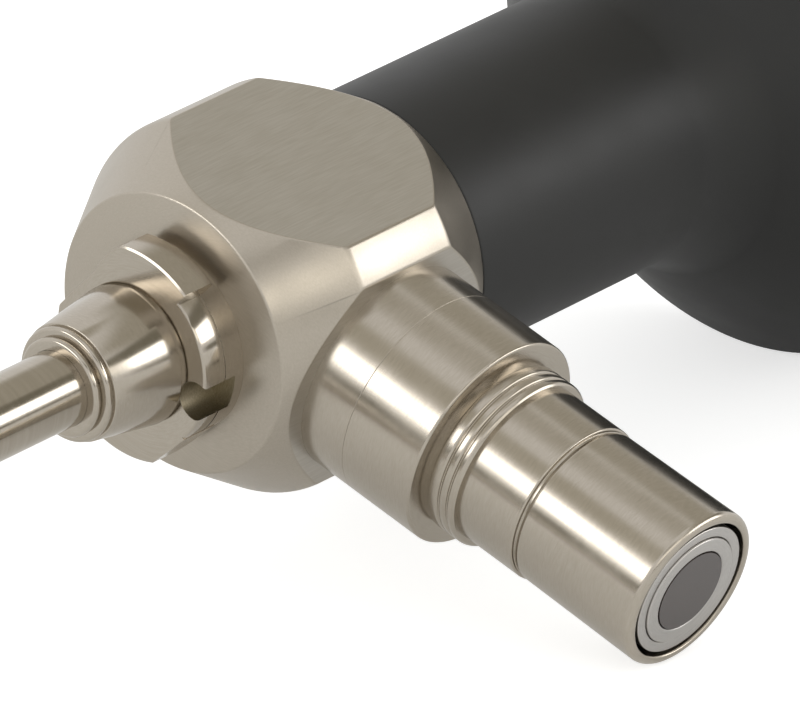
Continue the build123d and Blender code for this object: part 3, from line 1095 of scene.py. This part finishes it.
@dataclass
class Studio:
    """A pale floor, a white room, two soft lamps and the cards beside them, in metres."""

    floor_reach: float = 4.0
    tooth_size: float = 1 / 900
    tooth_height: float = 0.00001
    floor_colour: str = "#DCDCDA"
    floor_lift: float = 0.42
    floor_in_metal: float = 0.22
    room_level: float = 0.82
    lamps: tuple[Panel, ...] = (Panel(160.0, 27.5, 40.0, 17.0), Panel(-49.0, 18.0, 44.0, 17.0))
    lamp_radiance: float = 3.2
    cards: tuple[Card, ...] = (
        Card(158.0, 9.5, 50.0, 9.0, colour="#6E6B5A"),
        Card(160.0, 52.0, 60.0, 26.0, colour="#D0CCC0"),
        Card(-49.0, 3.0, 50.0, 6.0, colour="#8A867A"),
        Card(-45.0, 34.0, 110.0, 22.0, colour="#8F8B7E"),
        Card(-15.0, 53.0, 90.0, 44.0, 1.3, "#C6C2B7"),
        Card(60.0, 80.0, 36.0, 22.0, 1.3, "#C9C5BA"),
        Card(-114.0, 4.0, 34.0, 7.0, colour="#8A867A"),
        Card(-122.0, 43.0, 38.0, 14.0, colour="#8A867A"),
        Card(-102.0, 21.0, 60.0, 19.0, colour="#FFFCF4", radiance=2.0),
    )
    card_fade: float = 0.25

    def build(self) -> None:
        """Builds the stage and the light."""
        self.lay_floor()
        for number, panel in enumerate(self.lamps, start=1):
            self.hang_lamp(f"soft lamp {number}", panel)
        for number, card in enumerate(self.cards, start=1):
            self.hang_card(f"card_{number}", card)
        self.paint_room()

    def seen_directly(self, tree: NodeTree) -> NodeSocket:
        """1 for rays from the camera, a mirror-like surface or through glass, and 0 for the rest."""
        rays = add_node(tree, "ShaderNodeLightPath").outputs
        bent = {0: rays["Is Glossy Ray"], 1: rays["Is Transmission Ray"]}
        shiny = add_node(tree, "ShaderNodeMath", bent, operation="MAXIMUM")
        both = {0: rays["Is Camera Ray"], 1: shiny.outputs[0]}
        return add_node(tree, "ShaderNodeMath", both, operation="MAXIMUM").outputs[0]

    def lay_floor(self) -> None:
        """A wide floor of white paper. Its lift makes open paper white and leaves the shadow."""
        sheet = bmesh.new()
        bmesh.ops.create_grid(sheet, x_segments=8, y_segments=8, size=self.floor_reach)
        floor = as_object(sheet, "paper_floor")
        material = empty_material("white paper")
        tree = material.node_tree
        where = add_node(tree, "ShaderNodeTexCoord").outputs["Object"]
        fibres = {"Vector": where, "Scale": 1 / self.tooth_size}
        tooth = add_node(tree, "ShaderNodeTexNoise", fibres).outputs[0]
        bump = add_node(tree, "ShaderNodeBump", {"Height": tooth, "Distance": self.tooth_height}).outputs[0]
        white = {"Color": linear(self.floor_colour), "Normal": bump}
        paper = add_node(tree, "ShaderNodeBsdfDiffuse", white)
        share = {0: self.seen_directly(tree), 1: self.floor_in_metal}
        in_metal = add_node(tree, "ShaderNodeMath", share, operation="MULTIPLY").outputs[0]
        camera = add_node(tree, "ShaderNodeLightPath").outputs["Is Camera Ray"]
        parts = {0: camera, 1: self.floor_lift, 2: in_metal}
        lift = add_node(tree, "ShaderNodeMath", parts, operation="MULTIPLY_ADD")
        glow = add_node(tree, "ShaderNodeEmission", {"Strength": lift.outputs[0]})
        both = add_node(tree, "ShaderNodeAddShader", {0: paper.outputs[0], 1: glow.outputs[0]})
        add_node(tree, "ShaderNodeOutputMaterial", {0: both.outputs[0]})
        floor.data.materials.append(material)

    def hang_lamp(self, name: str, panel: Panel) -> None:
        """Hangs one soft lamp of the set radiance."""
        data = bpy.data.lights.new(name, "AREA")
        data.shape = "RECTANGLE"
        data.size, data.size_y = panel.size()
        data.energy = self.lamp_radiance * math.pi * data.size * data.size_y
        lamp = bpy.data.objects.new(name, data)
        lamp.matrix_world = panel.place()
        bpy.context.scene.collection.objects.link(lamp)

    def hang_card(self, name: str, panel: Card) -> None:
        """Hangs one card that only shows as a reflection, as a photographer's cards do."""
        sheet = bmesh.new()
        sheet.loops.layers.uv.new(CARD_MAP)
        bmesh.ops.create_grid(sheet, x_segments=2, y_segments=2, size=0.5, calc_uvs=True)
        breadth, height = panel.size()
        size = Matrix.Diagonal((breadth, height, 1.0, 1.0))
        bmesh.ops.transform(sheet, matrix=panel.place() @ size, verts=sheet.verts[:])
        card = as_object(sheet, name)
        material = empty_material(f"card {panel.colour}")
        tree = material.node_tree
        light = {"Color": linear(panel.colour), "Strength": panel.radiance}
        glow = add_node(tree, "ShaderNodeEmission", light)
        where = add_node(tree, "ShaderNodeUVMap", uv_map=CARD_MAP).outputs[0]
        cover = 1.0
        for part in add_node(tree, "ShaderNodeSeparateXYZ", {0: where}).outputs[:2]:
            inwards = add_node(tree, "ShaderNodeMath", {0: part, 1: 0.5}, operation="PINGPONG").outputs[0]
            ends = {"Value": inwards, "From Max": self.card_fade}
            fade = add_node(tree, "ShaderNodeMapRange", ends, interpolation_type="SMOOTHSTEP").outputs[0]
            cover = add_node(tree, "ShaderNodeMath", {0: fade, 1: cover}, operation="MULTIPLY").outputs[0]
        clear = add_node(tree, "ShaderNodeBsdfTransparent").outputs[0]
        soft = add_node(tree, "ShaderNodeMixShader", {0: cover, 1: clear, 2: glow.outputs[0]})
        add_node(tree, "ShaderNodeOutputMaterial", {0: soft.outputs[0]})
        card.data.materials.append(material)
        for ray in ("camera", "diffuse", "shadow", "transmission"):
            setattr(card, f"visible_{ray}", False)

    def paint_room(self) -> None:
        """A white room to the eye and to the metal, and a plain level of light on the object."""
        world = bpy.data.worlds.new("white room")
        world.use_nodes = True
        bpy.context.scene.world = world
        tree = world.node_tree
        tree.nodes.clear()
        levels = {"Value": self.seen_directly(tree), "To Min": self.room_level, "To Max": 1.0}
        strength = add_node(tree, "ShaderNodeMapRange", levels).outputs[0]
        room = add_node(tree, "ShaderNodeBackground", {"Color": linear("#FFFFFF"), "Strength": strength})
        add_node(tree, "ShaderNodeOutputWorld", {0: room.outputs[0]})


@dataclass
class StudioCamera:
    """A long lens that looks down on the light post, as the photographer's did."""

    aim: tuple[float, float, float] = (3.203, -5.539, -3.749)
    look_down: float = 20.81
    azimuth: float = 47.085
    roll: float = -1.191
    distance: float = 695.13
    lens: float = 630.0
    sensor: float = 36.0
    clip: tuple[float, float] = (0.01, 20.0)

    def build(self) -> None:
        """Sets up the camera."""
        down, azimuth, roll = (math.radians(a) for a in (self.look_down, self.azimuth, self.roll))
        level = math.cos(down)
        forward = Vector((level * math.sin(azimuth), level * math.cos(azimuth), -math.sin(down)))
        level_right = forward.cross(Vector((0.0, 0.0, 1.0))).normalized()
        level_up = level_right.cross(forward)
        right = level_right * math.cos(roll) + level_up * math.sin(roll)
        up = right.cross(forward)
        data = bpy.data.cameras.new("long lens")
        data.lens = self.lens
        data.sensor_width = self.sensor
        data.sensor_fit = "HORIZONTAL"
        data.clip_start, data.clip_end = self.clip
        camera = bpy.data.objects.new("camera", data)
        target = INSTRUMENT.crossing + Vector(self.aim) * MILLIMETRE
        turn = Matrix((right, up, -forward)).transposed().to_4x4()
        camera.matrix_world = Matrix.Translation(target - forward * self.distance * MILLIMETRE) @ turn
        bpy.context.scene.collection.objects.link(camera)
        bpy.context.scene.camera = camera


def main() -> None:
    """Builds the instrument, the studio and the camera in order."""
    logging.basicConfig(level=logging.INFO, format="%(name)s: %(message)s")
    bpy.context.scene.view_settings.view_transform = "Standard"
    for group in (Shaft(), BayonetRing(), Body(), LightPost(), Eyepiece(), InnerPieces()):
        log.info("building %s", type(group).__name__)
        group.build()
    Studio().build()
    StudioCamera().build()


if __name__ == "__main__":
    main()
